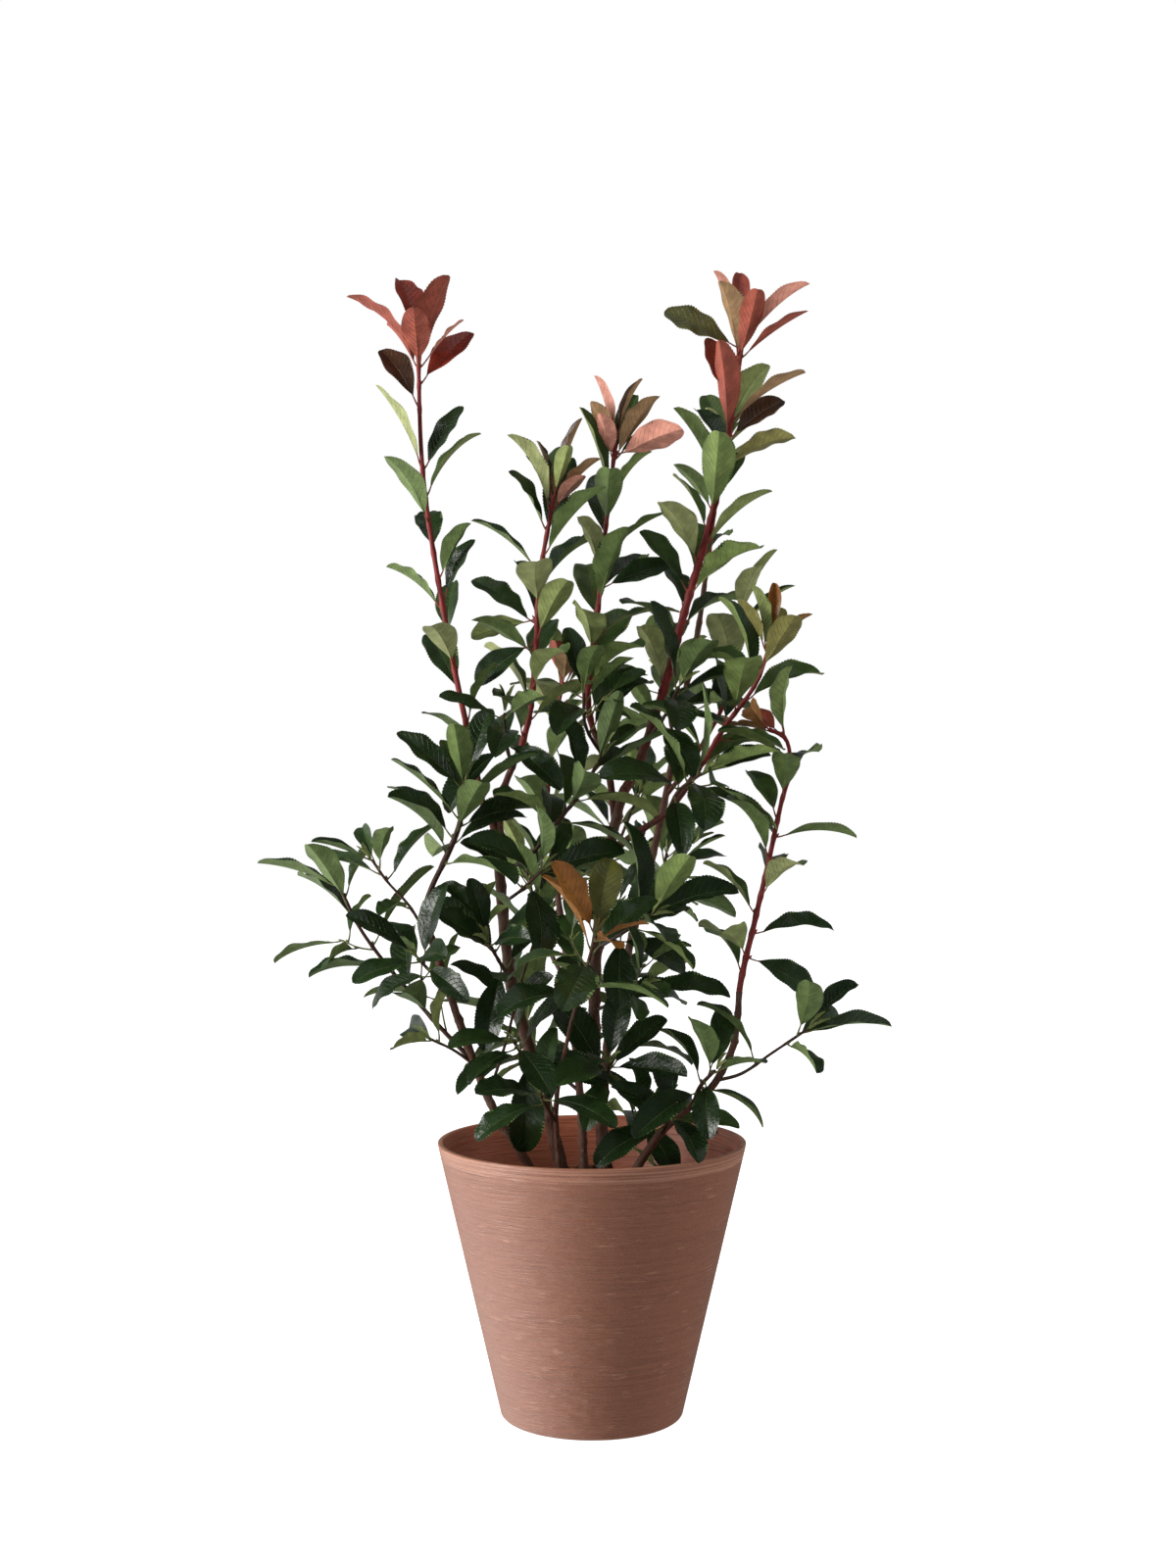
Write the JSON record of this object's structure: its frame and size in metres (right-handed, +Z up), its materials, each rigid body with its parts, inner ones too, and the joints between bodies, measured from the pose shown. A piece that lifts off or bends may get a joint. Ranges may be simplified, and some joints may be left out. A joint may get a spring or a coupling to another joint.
{
  "type": "potted photinia",
  "caption": "Evergreen photinia shrub with bare upright stems, glossy toothed leaves and red young tips, in a round tapered pot.",
  "frame": {"origin": "middle of the pot's flat underside", "axes": "+Z up, -Y towards the front of the plant, +X to the right seen from the front"},
  "size_m": [0.6016, 0.4865, 1.127],
  "materials": {
    "pot": "matte",
    "soil": "matte",
    "bark": "matte",
    "foliage": "satin"
  },
  "bodies": {
    "root": {"pot": "pot", "soil": "soil", "stem_left": "bark", "stem_mid_left": "bark", "stem_centre": "bark", "stem_back": "bark", "stem_right": "bark", "stem_front": "bark", "stem_rear": "bark", "bough_left_high": "bark", "bough_second": "bark", "bough_third": "bark", "bough_right_high": "bark", "bough_diagonal": "bark", "bough_diagonal_back": "bark", "tall_left": "foliage", "tall_second": "foliage", "tall_third": "foliage", "tall_right": "foliage", "tall_right_back": "foliage", "back_high": "foliage", "back_middle": "foliage", "diagonal_right": "foliage", "diagonal_back": "foliage", "right_arch": "foliage", "right_low": "foliage", "right_low_front": "foliage", "left_up": "foliage", "left_out": "foliage", "left_middle": "foliage", "left_low": "foliage", "left_base": "foliage", "front": "foliage", "thin_middle": "foliage", "diagonal_middle": "foliage", "middle_left": "foliage", "middle_centre": "foliage", "low_left": "foliage", "low_front": "foliage", "low_centre": "foliage", "low_right": "foliage", "pot_low": "foliage", "centre_right": "foliage", "centre_low": "foliage", "upper_left": "foliage", "upper_centre": "foliage", "upper_right": "foliage", "diagonal_low": "foliage", "rear_left": "foliage", "rear_middle": "foliage", "rear_right": "foliage", "rear_low_left": "foliage", "rear_low_right": "foliage"}
  },
  "joints": []
}
